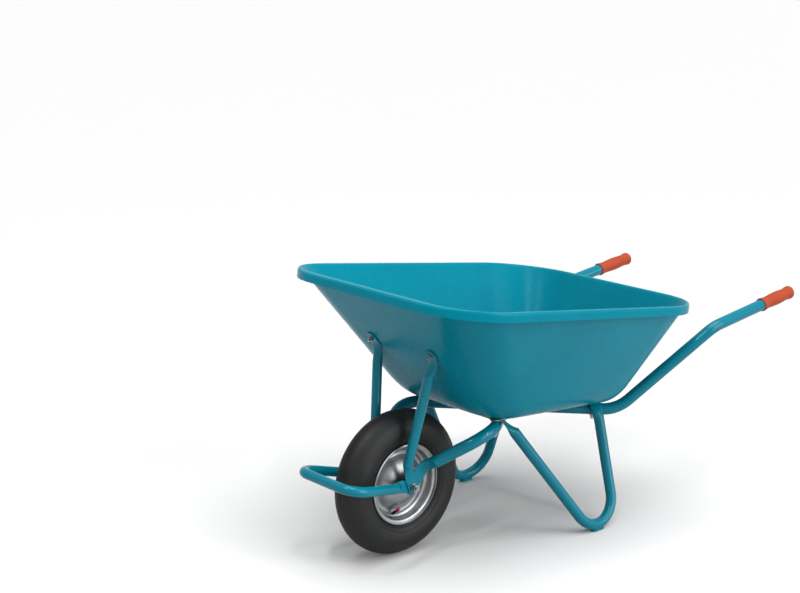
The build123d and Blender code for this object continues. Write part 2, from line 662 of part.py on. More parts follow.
def axle_plane(y, side=1):
    """Plane square to the axle at y, facing outwards on that side."""
    return Plane(at(0, y * side, WHEEL_R), x_dir=(1, 0, 0), z_dir=(0, side, 0))


def axle_bolt():
    """Long bolt through the sleeve and the six flattened tube ends, its head on the right."""
    outside = STRUT_TAB_Y + TAB_THICK / 2 + AXLE_WASHER_THICK + 2 * TOUCH_GAP
    shank = ring(-outside, outside + AXLE_NUT_THICK + BOLT_TAIL, 0.0, AXLE_BOLT_R)
    return shank + axle_plane(outside, -1) * hexagon_prism(AXLE_NUT_AF, AXLE_HEAD_THICK)


def axle_washers():
    """Washers under the head and the nut."""
    low = STRUT_TAB_Y + TAB_THICK / 2 + TOUCH_GAP
    left = ring(low, low + AXLE_WASHER_THICK, AXLE_BOLT_R + BOLT_PLAY, AXLE_WASHER_R)
    return Compound(children=[left, other_side(left)])


def axle_nut():
    """Lock nut on the left end of the axle bolt."""
    outside = STRUT_TAB_Y + TAB_THICK / 2 + AXLE_WASHER_THICK + 2 * TOUCH_GAP
    return axle_plane(outside) * (hexagon_prism(AXLE_NUT_AF, AXLE_NUT_THICK) - Cylinder(AXLE_BOLT_R, CUTTER))


def grip_left():
    """Moulded grip: closed round end, waist, palm swell and flared collar."""
    path = frame_path()
    end = path @ 0
    inward = path % 0
    place = Plane(end, x_dir=Vector(0, 1, 0).cross(inward), z_dir=inward)
    profile = [(along - GRIP_END_WALL, radius) for along, radius in GRIP_PROFILE]
    curve = Spline(*[(radius, along) for along, radius in profile])
    tip, collar = profile[0], profile[-1]
    base = Polyline((collar[1], collar[0]), (0, collar[0]), (0, tip[0]), (tip[1], tip[0]))
    section = make_face([curve, base])
    side = Plane(end, x_dir=place.x_dir, z_dir=place.x_dir.cross(inward))
    body = revolve(side * section, Axis(end, inward))
    return body - extrude(place * Circle(FRAME_TUBE_R + TOUCH_GAP), GRIP_LENGTH)


def tray_bolts():
    """Four cup-head bolts down through tray, plate, leg end and frame tube."""
    head_w = TRAY_W + TRAY_WALL + TRAY_WASHER_THICK + 2 * TOUCH_GAP
    low_w = -FRAME_TUBE_R - TRAY_NUT_THICK - BOLT_TAIL
    return Compound(children=[FLOOR * Pos(u, v, 0) * cup_head_bolt(head_w, low_w) for u, v in BOLT_PLACES])


def cup_head_bolt(head_z, end_z):
    """Bolt along z with a shallow domed head above head_z."""
    shank = Pos(0, 0, (head_z + end_z) / 2) * Cylinder(TRAY_BOLT_R, head_z - end_z)
    sphere_r = (TRAY_HEAD_R ** 2 + CUP_HEIGHT ** 2) / (2 * CUP_HEIGHT)
    dome = Pos(0, 0, head_z + CUP_HEIGHT - sphere_r) * Sphere(sphere_r)
    return shank + dome & (shank + Pos(0, 0, head_z + CUP_HEIGHT / 2) * Cylinder(TRAY_HEAD_R, CUP_HEIGHT))


def washer(low_z):
    """Flat washer whose underside is at low_z."""
    ring_shape = Cylinder(TRAY_WASHER_R, TRAY_WASHER_THICK) - Cylinder(TRAY_BOLT_R + BOLT_PLAY, CUTTER)
    return Pos(0, 0, low_z + TRAY_WASHER_THICK / 2) * ring_shape


def nut(low_z):
    """Hexagon nut whose underside is at low_z."""
    return Pos(0, 0, low_z) * (hexagon_prism(TRAY_NUT_AF, TRAY_NUT_THICK) - Cylinder(TRAY_BOLT_R, CUTTER))


def tray_bolt_washers():
    """Wide washers inside the tray."""
    low = TRAY_W + TRAY_WALL + TOUCH_GAP
    return Compound(children=[FLOOR * Pos(u, v, 0) * washer(low) for u, v in BOLT_PLACES])


def tray_bolt_nuts():
    """Nuts under the frame tubes."""
    low = -FRAME_TUBE_R - TRAY_NUT_THICK - TOUCH_GAP
    return Compound(children=[FLOOR * Pos(u, v, 0) * nut(low) for u, v in BOLT_PLACES])


def strut_places():
    """Frames on the front wall at the strut bolts, z outwards."""
    up, side = strut_bolt_place()
    return [front_wall() * Pos(up, s * side, 0) for s in (-1, 1)]


def strut_bolts():
    """Two cup-head bolts through the front wall and the struts."""
    inside = TRAY_WALL + TRAY_WASHER_THICK + 2 * TOUCH_GAP
    outside = TAB_THICK + TRAY_NUT_THICK + BOLT_TAIL
    bolt = Rot(180, 0, 0) * cup_head_bolt(inside, -outside)
    return Compound(children=[place * bolt for place in strut_places()])


def strut_bolt_washers():
    """Wide washers inside the tray's front wall."""
    low = -TRAY_WALL - TOUCH_GAP - TRAY_WASHER_THICK
    return Compound(children=[place * washer(low) for place in strut_places()])


def strut_bolt_nuts():
    """Nuts on the struts' flattened ends."""
    low = TAB_THICK + 2 * TOUCH_GAP
    return Compound(children=[place * nut(low) for place in strut_places()])


def main():
    """Write every piece of the barrow to its own file."""
    pieces = {
        "tray": tray(),
        "support_plate": support_plate(),
        "centre_weld": centre_weld(),
        "front_loop": front_loop(),
        "tyre": tyre(),
        "inner_tube": inner_tube(),
        "hub_tube": hub_tube(),
        "axle_sleeve": axle_sleeve(),
        "axle_bolt": axle_bolt(),
        "axle_washers": axle_washers(),
        "axle_nut": axle_nut(),
        "valve_stem": valve_stem(),
        "valve_cap": valve_cap(),
        "tray_bolts": tray_bolts(),
        "tray_bolt_washers": tray_bolt_washers(),
        "tray_bolt_nuts": tray_bolt_nuts(),
        "strut_bolts": strut_bolts(),
        "strut_bolt_washers": strut_bolt_washers(),
        "strut_bolt_nuts": strut_bolt_nuts(),
    }
    handed = {
        "frame_tube": frame_tube_left(),
        "front_strut": strut_left(),
        "leg": leg_left(),
        "foot_shoe": foot_shoe_left(),
        "grip": grip_left(),
        "rim_half": sheet_ring(RIM_HALF_LINE, RIM_SHEET),
        "roller_cage": roller_cage_left(),
        "rollers": rollers_left(),
        "dust_cap": dust_cap_left(),
    }
    for name, piece in handed.items():
        pieces[name + "_left"] = piece
        pieces[name + "_right"] = other_side(piece)
    pieces["rim_half_left"] = rim_half_left()
    os.makedirs("parts", exist_ok=True)
    for name, piece in pieces.items():
        export_step(piece, f"parts/{name}.step")


main()
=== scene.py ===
"""Looks of a one-wheeled builder's wheelbarrow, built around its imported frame.

Metres. +X points ahead, towards the wheel, +Y is the user's left and +Z is up. The pieces that carry
the look are shaped here and stand for their plain CAD nodes, and every other node gets its finish.
"""
import json
from math import atan2, cos, hypot, pi, radians, sin, sqrt

import bmesh
import bpy
from mathutils import Matrix, Vector


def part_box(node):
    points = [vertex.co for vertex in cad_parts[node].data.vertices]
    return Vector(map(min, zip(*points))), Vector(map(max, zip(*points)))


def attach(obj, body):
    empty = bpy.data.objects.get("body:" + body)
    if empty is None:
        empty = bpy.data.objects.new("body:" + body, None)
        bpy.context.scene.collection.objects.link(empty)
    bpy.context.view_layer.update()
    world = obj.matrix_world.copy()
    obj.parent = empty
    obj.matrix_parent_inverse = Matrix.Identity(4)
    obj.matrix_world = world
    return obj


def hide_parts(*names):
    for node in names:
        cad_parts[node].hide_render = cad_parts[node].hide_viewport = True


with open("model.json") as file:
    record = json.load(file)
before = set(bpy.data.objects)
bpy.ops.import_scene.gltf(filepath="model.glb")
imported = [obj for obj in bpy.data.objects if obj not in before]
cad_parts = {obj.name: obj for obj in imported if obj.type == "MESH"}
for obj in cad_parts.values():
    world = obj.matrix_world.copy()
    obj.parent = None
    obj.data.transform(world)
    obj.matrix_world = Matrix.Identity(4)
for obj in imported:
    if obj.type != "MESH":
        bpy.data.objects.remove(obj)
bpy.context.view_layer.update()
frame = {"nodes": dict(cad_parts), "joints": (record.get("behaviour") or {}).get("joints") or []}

bl_info = {
    "name": "Builder's Wheelbarrow",
    "version": (1, 0, 0),
    "blender": (4, 5, 0),
    "location": "View3D > Sidebar > Wheelbarrow",
    "description": "Shapes and finishes a moulded-tray wheelbarrow around its packed frame",
    "category": "Object",
}

AXLE = Vector(frame["joints"][0]["pos_m"])
TYRE_LOW, TYRE_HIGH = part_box("tyre")
WHEEL_RADIUS = (TYRE_HIGH.x - TYRE_LOW.x) / 2
TYRE_HALF_WIDTH = (TYRE_HIGH.y - TYRE_LOW.y) / 2
SHARP_TURN = radians(38)    # edges that turn more than this are shaded sharp
FULL_TURN = 2 * pi
TYRE_STEPS = 160            # steps round the tyre
RIM_STEPS = 144             # steps round the rim
GRIP_STEPS = 64
STEM_STEPS = 40
CAP_STEPS = 36
CORNER_STEPS = 12           # steps round each corner of the tray
ROUND_LEVELS = 10           # levels up the rounding between the tray's floor and wall
WALL_LEVELS = 8
LIP_START_LEVELS = 5        # levels from the wall's top onto the lip
LIP_ROUND_LEVELS = 6        # levels round the lip's outer edge
WALL_TOP_SHARE = 0.965      # how far up the wall its straight part reaches
LIP_START_SHARE = 0.28      # how far out on the lip its inner rounding reaches
SIDEWALL_STEPS = 40
RING_STEPS = (7, 8, 12, 31, 32)     # steps of the sidewall that stand out as rings
GROOVE_SHAPE = ((0.5, 0), (0.32, 0.8), (0, 1), (-0.32, 0.8), (-0.5, 0))     # share of width, of depth
GROOVE_FADE = 0.15          # how much shallower each groove is than the one nearer the middle
SOFT_LIGHT_SPREAD = radians(50)
OVERHEAD_DIRECTION = Vector((0.1, -0.1, -1.0))
SIDE_DIRECTION = Vector((0.35, -0.9, -0.26))
STRIP_TARGET = Vector((0.0, 0.0, 0.4))
STRIPS = {                  # place, width and length of each narrow light
    "strip_ahead": (Vector((1.9, 0.1, 2.6)), (0.16, 0.9)),
    "strip_corner": (Vector((1.2, 1.0, 2.9)), (0.16, 0.9)),
    "strip_side": (Vector((-0.6, 2.8, 2.4)), (0.10, 1.8)),
}
FLOOR_REACH = 30.0          # from the middle of the studio floor to each edge
VIEW_REACH = 100.0          # how far the camera sees

CAMERA_TARGET = Vector((0.068, 0.0, 0.400))
CAMERA_AZIMUTH = 134.72
CAMERA_ELEVATION = 16.674
CAMERA_DISTANCE = 4.396
CAMERA_LENS = 69.524
CAMERA_TURN = (-0.0378, 0.0257)     # how far the aim lies to the right of and above the target
CAMERA_ROLL = 0.143
CAMERA_SHIFT = (-0.073, 0.050)


def length(text, default, description, low=0.0):
    """Length property in metres."""
    return bpy.props.FloatProperty(
        name=text, description=description, default=default, min=low, subtype="DISTANCE", unit="LENGTH"
    )


def colour_choice(text, default, description):
    """Colour property."""
    return bpy.props.FloatVectorProperty(
        name=text, description=description, default=default, min=0.0, max=1.0, size=3, subtype="COLOR"
    )


class WheelbarrowTraySizes(bpy.types.PropertyGroup):
    """Sizes of the moulded tray."""

    floor_back: length("Floor Back", 0.416, "From the axle back to the middle of the tray's floor")
    floor_height: length("Floor Height", 0.324, "Height of the frame tubes' middle under that place")
    floor_above: length("Floor Above Tubes", 0.02715, "From the tubes' middle up to the floor's inside")
    floor_tilt: bpy.props.FloatProperty(
        name="Floor Tilt",
        description="How far the floor is tipped, nose up",
        default=radians(5),
        subtype="ANGLE",
    )
    floor_front: length("Floor Front", 0.2677, "From the floor's middle ahead to where wall and floor meet")
    floor_rear: length("Floor Rear", 0.2727, "From the floor's middle back to where wall and floor meet")
    floor_half: length("Floor Half Width", 0.2077, "Half the floor's width, to where wall and floor meet")
    front_corner: length("Floor Front Corner", 0.125, "Radius of front corners where wall and floor meet")
    rear_corner: length("Floor Rear Corner", 0.085, "Radius of rear corners where wall and floor meet")
    flat_corner: length("Flat Corner", 0.030, "Radius of the corners of the floor's flat part")
    front_round: length("Front Rounding", 0.075, "How far the front rounding reaches over the floor")
    side_round: length("Side Rounding", 0.042, "How far the side rounding reaches over the floor")
    rear_round: length("Rear Rounding", 0.056, "How far the rear rounding reaches over the floor")
    rise: bpy.props.FloatProperty(
        name="Rounding Rise",
        description="Share of the wall's height that the rounding reaches",
        default=0.19,
        min=0.0,
        max=0.5,
    )
    rim_front: length("Rim Front", 0.111, "From the axle ahead to the front of the rim")
    rim_rear: length("Rim Rear", 0.868, "From the axle back to the rear of the rim")
    rim_half: length("Rim Half Width", 0.385, "Half the width over the rim")
    rim_front_height: length("Rim Front Height", 0.752, "Height of the rim's front")
    rim_rear_height: length("Rim Rear Height", 0.610, "Height of the rim's rear")
    rim_front_corner: length("Rim Front Corner", 0.175, "Radius of the rim's front corners")
    rim_rear_corner: length("Rim Rear Corner", 0.205, "Radius of the rim's rear corners")
    lip_front: length("Front Lip Width", 0.0247, "Width of the lip ahead of the front wall")
    lip_side: length("Side Lip Width", 0.0145, "Width of the lip beside the side walls")
    lip_rear: length("Rear Lip Width", 0.0165, "Width of the lip behind the rear wall")
    wall_front_corner: length("Wall Front Corner", 0.130, "Radius of the walls' front corners at the lip")
    wall_rear_corner: length("Wall Rear Corner", 0.175, "Radius of the walls' rear corners under the lip")
    lip_drop: length("Lip Drop", 0.025, "How far the lip turns down")
    lip_round: length("Lip Rounding", 0.009, "Radius of the lip's outer rounding")
    wall: length("Wall", 0.004, "Thickness of the moulding")


class WheelbarrowWheelSizes(bpy.types.PropertyGroup):
    """Sizes of the tyre and its rim."""

    bead_half: length("Bead Half Width", 0.0304, "Half the width over the tyre's beads")
    bead_radius: length("Bead Radius", 0.1100, "Radius at which the sidewall leaves the rim's flange")
    seat_radius: length("Seat Radius", 0.1015, "Radius of the bead's seat on the rim")
    widest_radius: length("Widest Radius", 0.148, "Radius at which the tyre is widest")
    shoulder_drop: length("Shoulder Drop", 0.018, "From the tread's crown down to the shoulder")
    shoulder_in: length("Shoulder In", 0.012, "From the tyre's widest place in to the shoulder")
    groove_pitch: length("Groove Pitch", 0.0075, "Distance between the tread's grooves")
    groove_depth: length("Groove Depth", 0.0018, "Depth of the tread's grooves")
    groove_width: length("Groove Width", 0.0022, "Width of the tread's grooves at the top")
    grooves_per_side: bpy.props.IntProperty(
        name="Grooves Per Side", description="Grooves on each side of the middle one", default=4, min=0
    )
    ring_height: length("Ring Height", 0.0007, "How far the rings stand out of the sidewall")
    rim_sheet: length("Rim Sheet", 0.002, "Thickness of the rim's sheet")


class WheelbarrowGripSizes(bpy.types.PropertyGroup):
    """Sizes of the handle grips."""

    reach: length("Reach", 1.296, "From the axle back to the end of the grips")
    side: length("Side", 0.323, "From the middle to each handle")
    end_height: length("End Height", 0.5696, "Height of the grips' ends")
    run: length("Handle Run", 0.368, "Length of the straight handle, along the ground")
    climb: length("Handle Climb", 0.044, "Rise of the straight handle")
    bore: length("Bore", 0.01705, "Radius of the handle tube, with its clearance")
    end_wall: length("End Wall", 0.005, "Thickness of the grip's closed end")


class WheelbarrowFinishes(bpy.types.PropertyGroup):
    """Colours of the finishes."""

    tray: colour_choice("Tray", (0.0003, 0.132, 0.184), "Moulded tray")
    paint: colour_choice("Paint", (0.0003, 0.118, 0.165), "Powder coat on the tubes")
    zinc: colour_choice("Zinc", (0.33, 0.34, 0.35), "Galvanised sheet, rim and fasteners")
    tyre: colour_choice("Tyre", (0.0048, 0.0051, 0.0053), "Tyre rubber")
    rubber: colour_choice("Rubber", (0.010, 0.010, 0.010), "Valve stem and bearing plastic")
    grip: colour_choice("Grip", (0.26, 0.041, 0.015), "Handle grips")
    cap: colour_choice("Valve Cap", (0.30, 0.018, 0.030), "Valve cap")


class WheelbarrowStage(bpy.types.PropertyGroup):
    """The studio around the barrow."""

    floor: colour_choice("Floor", (0.50, 0.50, 0.50), "Floor of the studio")
    sky: bpy.props.FloatProperty(
        name="Sky", description="Strength of the white surround", default=0.65, min=0.0
    )
    overhead: bpy.props.FloatProperty(
        name="Overhead", description="Strength of the broad soft light from above", default=3.3, min=0.0
    )
    side: bpy.props.FloatProperty(
        name="Side", description="Strength of the low soft light from the left", default=2.8, min=0.0
    )
    strip_power: bpy.props.FloatProperty(
        name="Strip Lights", description="Power of each narrow light", default=20.0, min=0.0, unit="POWER"
    )


# Shapes


def arc(start, through, end, steps):
    """Points from start to end along the circle through the three given points."""
    (ax, ay), (bx, by), (cx, cy) = start, through, end
    spread = 2 * (ax * (by - cy) + bx * (cy - ay) + cx * (ay - by))
    a2, b2, c2 = ax * ax + ay * ay, bx * bx + by * by, cx * cx + cy * cy
    x = (a2 * (by - cy) + b2 * (cy - ay) + c2 * (ay - by)) / spread
    y = (a2 * (cx - bx) + b2 * (ax - cx) + c2 * (bx - ax)) / spread
    radius = hypot(ax - x, ay - y)
    first = atan2(ay - y, ax - x)
    middle = (atan2(by - y, bx - x) - first) % FULL_TURN
    turn = (atan2(cy - y, cx - x) - first) % FULL_TURN
    if middle > turn:
        turn -= FULL_TURN
    angles = [first + turn * k / steps for k in range(steps + 1)]
    return [(x + radius * cos(a), y + radius * sin(a)) for a in angles]


def eased(points, rounds=2):
    """Open line with its corners cut, more smoothly with every round."""
    for _ in range(rounds):
        cut = [points[0]]
        for (ax, ay), (bx, by) in zip(points, points[1:]):
            cut.append((ax * 0.75 + bx * 0.25, ay * 0.75 + by * 0.25))
            cut.append((ax * 0.25 + bx * 0.75, ay * 0.25 + by * 0.75))
        points = cut + [points[-1]]
    return points


def spin_outline(points, centre, axis, steps, closed=True):
    """Bmesh of an outline of (along the axis, radius) points spun round the axis through centre."""
    bm = bmesh.new()
    axis = axis.normalized()
    side = axis.orthogonal().normalized()
    ring = [bm.verts.new(centre + axis * along + side * radius) for along, radius in points]
    edges = [bm.edges.new(pair) for pair in zip(ring, ring[1:])]
    if closed:
        edges.append(bm.edges.new((ring[-1], ring[0])))
    bmesh.ops.spin(
        bm, geom=ring + edges, cent=centre, axis=axis, angle=FULL_TURN, steps=steps, use_merge=True
    )
    bmesh.ops.remove_doubles(bm, verts=bm.verts[:], dist=1e-6)
    return bm


def add_piece(name, bm, material, body, stands_for):
    """Object made from a bmesh, shaded, finished and riding on its body."""
    bmesh.ops.recalc_face_normals(bm, faces=bm.faces[:])
    for face in bm.faces:
        face.smooth = True
    for edge in bm.edges:
        edge.smooth = len(edge.link_faces) < 2 or edge.calc_face_angle() < SHARP_TURN
    mesh = bpy.data.meshes.new(name)
    bm.to_mesh(mesh)
    bm.free()
    piece = bpy.data.objects.new(name, mesh)
    bpy.context.scene.collection.objects.link(piece)
    mesh.materials.append(material)
    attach(piece, body)
    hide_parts(*stands_for)
    return piece


def tipped_plane(origin, tilt):
    """Frame whose x axis points ahead and up by the tilt."""
    place = Matrix.Rotation(-tilt, 4, "Y")
    place.translation = origin
    return place


def rounded_outline(place, ahead, back, half, front_corner, rear_corner, steps=CORNER_STEPS):
    """Corner-rounded rectangle on a plane: its points, always in the same order."""
    bm = bmesh.new()
    corners = [(ahead, -half), (ahead, half), (-back, half), (-back, -half)]
    verts = [bm.verts.new((x, y, 0)) for x, y in corners]
    bm.faces.new(verts)
    for pair, radius in ((verts[:2], front_corner), (verts[2:], rear_corner)):
        bmesh.ops.bevel(
            bm, geom=pair, offset=radius, affect="VERTICES", segments=steps, profile=0.5, material=-1
        )
    bm.faces.ensure_lookup_table()
    points = [place @ vert.co for vert in bm.faces[0].verts]
    bm.free()
    return points


def tray_outlines(sizes):
    """The four outlines that the tray runs through: floor's flat, floor's edge, wall's top, lip."""
    floor = tipped_plane(
        Vector((AXLE.x - sizes.floor_back, 0, sizes.floor_height)), sizes.floor_tilt
    ) @ Matrix.Translation((0, 0, sizes.floor_above))
    rim_rise = sizes.rim_front_height - sizes.rim_rear_height
    rim_run = sizes.rim_front + sizes.rim_rear
    middle_x = AXLE.x + (sizes.rim_front - sizes.rim_rear) / 2
    middle_z = (sizes.rim_front_height + sizes.rim_rear_height) / 2
    rim = tipped_plane(Vector((middle_x, 0, middle_z)), atan2(rim_rise, rim_run))
    half_length = hypot(rim_rise, rim_run) / 2
    outlines = [
        rounded_outline(
            floor,
            sizes.floor_front - sizes.front_round,
            sizes.floor_rear - sizes.rear_round,
            sizes.floor_half - sizes.side_round,
            sizes.flat_corner,
            sizes.flat_corner,
        ),
        rounded_outline(
            floor,
            sizes.floor_front,
            sizes.floor_rear,
            sizes.floor_half,
            sizes.front_corner,
            sizes.rear_corner,
        ),
        rounded_outline(
            rim,
            half_length - sizes.lip_front,
            half_length - sizes.lip_rear,
            sizes.rim_half - sizes.lip_side,
            sizes.wall_front_corner,
            sizes.wall_rear_corner,
        ),
        rounded_outline(
            rim, half_length, half_length, sizes.rim_half, sizes.rim_front_corner, sizes.rim_rear_corner
        ),
    ]
    return outlines, rim.to_3x3() @ Vector((0, 0, 1))


def bent(start, corner, end, share):
    """Blend of three weight lists along a rounded corner."""
    weights = ((1 - share) ** 2, 2 * share * (1 - share), share ** 2)
    return [sum(w * part[k] for w, part in zip(weights, (start, corner, end))) for k in range(4)]


def tray_levels(sizes):
    """How much of each outline every level takes, and how far it lies along the rim's upright.

    The lip's outer rounding is measured on the front lip, so it is narrower on the sides and rear.
    """
    on_flat, on_edge, on_top, on_lip = (1, 0, 0, 0), (0, 1, 0, 0), (0, 0, 1, 0), (0, 0, 0, 1)
    low = (0, 1 - sizes.rise, sizes.rise, 0)
    high = (0, 1 - WALL_TOP_SHARE, WALL_TOP_SHARE, 0)
    lip_start = (0, 0, 1 - LIP_START_SHARE, LIP_START_SHARE)
    levels = [(bent(on_flat, on_edge, low, k / ROUND_LEVELS), 0.0) for k in range(1, ROUND_LEVELS + 1)]
    for k in range(1, WALL_LEVELS + 1):
        share = k / WALL_LEVELS
        levels.append(([a + (b - a) * share for a, b in zip(low, high)], 0.0))
    for k in range(1, LIP_START_LEVELS + 1):
        levels.append((bent(high, on_top, lip_start, k / LIP_START_LEVELS), 0.0))
    for k in range(LIP_ROUND_LEVELS + 1):
        angle = radians(90) * k / LIP_ROUND_LEVELS
        out = 1 - sizes.lip_round * (1 - sin(angle)) / sizes.lip_front
        levels.append(([0, 0, 1 - out, out], -sizes.lip_round * (1 - cos(angle))))
    levels.append((on_lip, -sizes.lip_drop))
    return levels


def tray_shell(sizes):
    """Skin of the tray: the floor's flat carried outwards level by level, over the lip and down."""
    outlines, upright = tray_outlines(sizes)
    bm = bmesh.new()
    keys = [bm.verts.layers.float_vector.new(f"outline_{k}") for k in range(len(outlines))]
    ring = []
    for places in zip(*outlines):
        vert = bm.verts.new(places[0])
        for key, place in zip(keys, places):
            vert[key] = place
        ring.append(vert)
    floor = bm.faces.new(ring)
    edges = floor.edges[:]
    for weights, along in tray_levels(sizes):
        grown = bmesh.ops.extrude_edge_only(bm, edges=edges)["geom"]
        edges = [part for part in grown if isinstance(part, bmesh.types.BMEdge)]
        for vert in (part for part in grown if isinstance(part, bmesh.types.BMVert)):
            vert.co = sum((vert[key] * weight for key, weight in zip(keys, weights)), upright * along)
    return bm


# Finishes


def new_finish(name):
    """Material with its node tree, shader and object coordinates."""
    material = bpy.data.materials.new(name)
    material.use_nodes = True
    tree = material.node_tree
    coords = tree.nodes.new("ShaderNodeTexCoord")
    return material, tree, tree.nodes["Principled BSDF"], coords.outputs["Object"]


def set_values(shader, **values):
    """Plain values on the shader's own sockets, named with underscores for spaces."""
    for name, value in values.items():
        socket = shader.inputs[name.replace("_", " ")]
        socket.default_value = (*value, 1.0) if name == "Base_Color" else value


def noise(tree, coords, scale, detail=3.0, roughness=0.5):
    """Noise pattern; scale is in patches per metre."""
    node = tree.nodes.new("ShaderNodeTexNoise")
    node.inputs["Scale"].default_value = scale
    node.inputs["Detail"].default_value = detail
    node.inputs["Roughness"].default_value = roughness
    tree.links.new(coords, node.inputs["Vector"])
    return node.outputs["Fac"]


def remap(tree, value, low, high, from_low=0.3, from_high=0.7):
    """Value spread over a new range."""
    node = tree.nodes.new("ShaderNodeMapRange")
    ends = {"From Min": from_low, "From Max": from_high, "To Min": low, "To Max": high}
    for name, number in ends.items():
        node.inputs[name].default_value = number
    tree.links.new(value, node.inputs["Value"])
    return node.outputs["Result"]


def mixed(tree, factor, low, high):
    """Colour between two others."""
    node = tree.nodes.new("ShaderNodeMix")
    node.data_type = "RGBA"
    tree.links.new(factor, node.inputs["Factor"])
    for socket, colour in ((node.inputs[6], low), (node.inputs[7], high)):
        if isinstance(colour, bpy.types.NodeSocket):
            tree.links.new(colour, socket)
        else:
            socket.default_value = (*colour, 1.0)
    return node.outputs[2]


def bumped(tree, height, distance, strength=1.0, under=None):
    """Surface normal pushed by a height, distance in metres."""
    node = tree.nodes.new("ShaderNodeBump")
    node.inputs["Strength"].default_value = strength
    node.inputs["Distance"].default_value = distance
    tree.links.new(height, node.inputs["Height"])
    if under is not None:
        tree.links.new(under, node.inputs["Normal"])
    return node.outputs["Normal"]


def shade(colour, factor):
    """Colour made lighter or darker."""
    return [min(channel * factor, 1.0) for channel in colour]


def moulded_plastic(name, colour, roughness, grain, blotch):
    """Moulded plastic: a fine grain, soft flow marks and rubbed patches."""
    material, tree, shader, coords = new_finish(name)
    flow = noise(tree, coords, scale=blotch, detail=4.0)
    rubbed = noise(tree, coords, scale=blotch * 6, detail=6.0, roughness=0.65)
    fine = noise(tree, coords, scale=grain, detail=2.0)
    tint = mixed(tree, remap(tree, flow, low=0.0, high=1.0), shade(colour, 0.93), shade(colour, 1.06))
    tree.links.new(tint, shader.inputs["Base Color"])
    dullness = remap(tree, rubbed, low=roughness - 0.04, high=roughness + 0.08)
    tree.links.new(dullness, shader.inputs["Roughness"])
    waves = bumped(tree, flow, distance=0.0008, strength=0.35)
    tree.links.new(bumped(tree, fine, distance=0.00006, strength=0.6, under=waves), shader.inputs["Normal"])
    set_values(shader, IOR=1.49, Specular_IOR_Level=0.08, Specular_Tint=(0.4, 0.85, 1.0, 1.0))
    return material


def powder_coat(name, colour):
    """Gloss powder coat: orange peel under a clear shine, with faint rubbing marks."""
    material, tree, shader, coords = new_finish(name)
    peel = noise(tree, coords, scale=260.0, detail=1.0)
    thick = noise(tree, coords, scale=9.0, detail=2.0)
    marks = noise(tree, coords, scale=60.0, detail=8.0, roughness=0.7)
    tint = mixed(tree, remap(tree, thick, low=0.0, high=1.0), shade(colour, 0.95), shade(colour, 1.05))
    tree.links.new(tint, shader.inputs["Base Color"])
    dullness = remap(tree, marks, low=0.16, high=0.26, from_low=0.4, from_high=0.75)
    tree.links.new(dullness, shader.inputs["Roughness"])
    tree.links.new(bumped(tree, peel, distance=0.00005, strength=0.5), shader.inputs["Normal"])
    set_values(shader, IOR=1.5, Specular_IOR_Level=0.1, Coat_Weight=0.15, Coat_Roughness=0.05)
    return material


def galvanised(name, colour, spangle, darkest, roughness):
    """Zinc on sheet steel: crystal spangle that changes brightness and shine from grain to grain."""
    material, tree, shader, coords = new_finish(name)
    cells = tree.nodes.new("ShaderNodeTexVoronoi")
    cells.inputs["Scale"].default_value = spangle
    warp = noise(tree, coords, scale=spangle * 1.5, detail=3.0)
    warped = tree.nodes.new("ShaderNodeVectorMath")
    warped.operation = "MULTIPLY_ADD"
    warped.inputs[1].default_value = (0.006, 0.006, 0.006)
    tree.links.new(warp, warped.inputs[0])
    tree.links.new(coords, warped.inputs[2])
    tree.links.new(warped.outputs["Vector"], cells.inputs["Vector"])
    grain = tree.nodes.new("ShaderNodeSeparateColor")
    tree.links.new(cells.outputs["Color"], grain.inputs["Color"])
    cloud = noise(tree, coords, scale=9.0, detail=4.0)
    base = mixed(tree, grain.outputs["Red"], shade(colour, darkest), colour)
    worn = mixed(tree, remap(tree, cloud, low=0.0, high=0.35), base, shade(colour, 0.7))
    tree.links.new(worn, shader.inputs["Base Color"])
    green = grain.outputs["Green"]
    dullness = remap(tree, green, low=roughness, high=roughness + 0.14, from_low=0.0, from_high=1.0)
    tree.links.new(dullness, shader.inputs["Roughness"])
    fine = noise(tree, coords, scale=700.0, detail=2.0)
    tree.links.new(bumped(tree, fine, distance=0.00005, strength=0.5), shader.inputs["Normal"])
    set_values(shader, Metallic=1.0)
    return material


def turned_metal(name, colour, roughness, centre):
    """Zinc-coated pressing or turning: rings of tool marks about the axle and a soft cloudiness."""
    material, tree, shader, coords = new_finish(name)
    from_axle = tree.nodes.new("ShaderNodeMapping")
    from_axle.inputs["Location"].default_value = -centre
    from_axle.inputs["Scale"].default_value = (1.0, 0.15, 1.0)
    tree.links.new(coords, from_axle.inputs["Vector"])
    radius = tree.nodes.new("ShaderNodeVectorMath")
    radius.operation = "LENGTH"
    tree.links.new(from_axle.outputs["Vector"], radius.inputs[0])
    rings = tree.nodes.new("ShaderNodeTexNoise")
    rings.noise_dimensions = "1D"
    rings.inputs["Scale"].default_value = 900.0
    rings.inputs["Detail"].default_value = 4.0
    tree.links.new(radius.outputs["Value"], rings.inputs["W"])
    cloud = noise(tree, coords, scale=35.0, detail=5.0, roughness=0.6)
    tint = mixed(tree, remap(tree, cloud, low=0.0, high=1.0), shade(colour, 0.72), colour)
    tree.links.new(tint, shader.inputs["Base Color"])
    tree.links.new(remap(tree, cloud, low=roughness + 0.10, high=roughness), shader.inputs["Roughness"])
    ridges = bumped(tree, rings.outputs["Fac"], distance=0.00008, strength=0.5)
    tree.links.new(ridges, shader.inputs["Normal"])
    set_values(shader, Metallic=1.0)
    return material


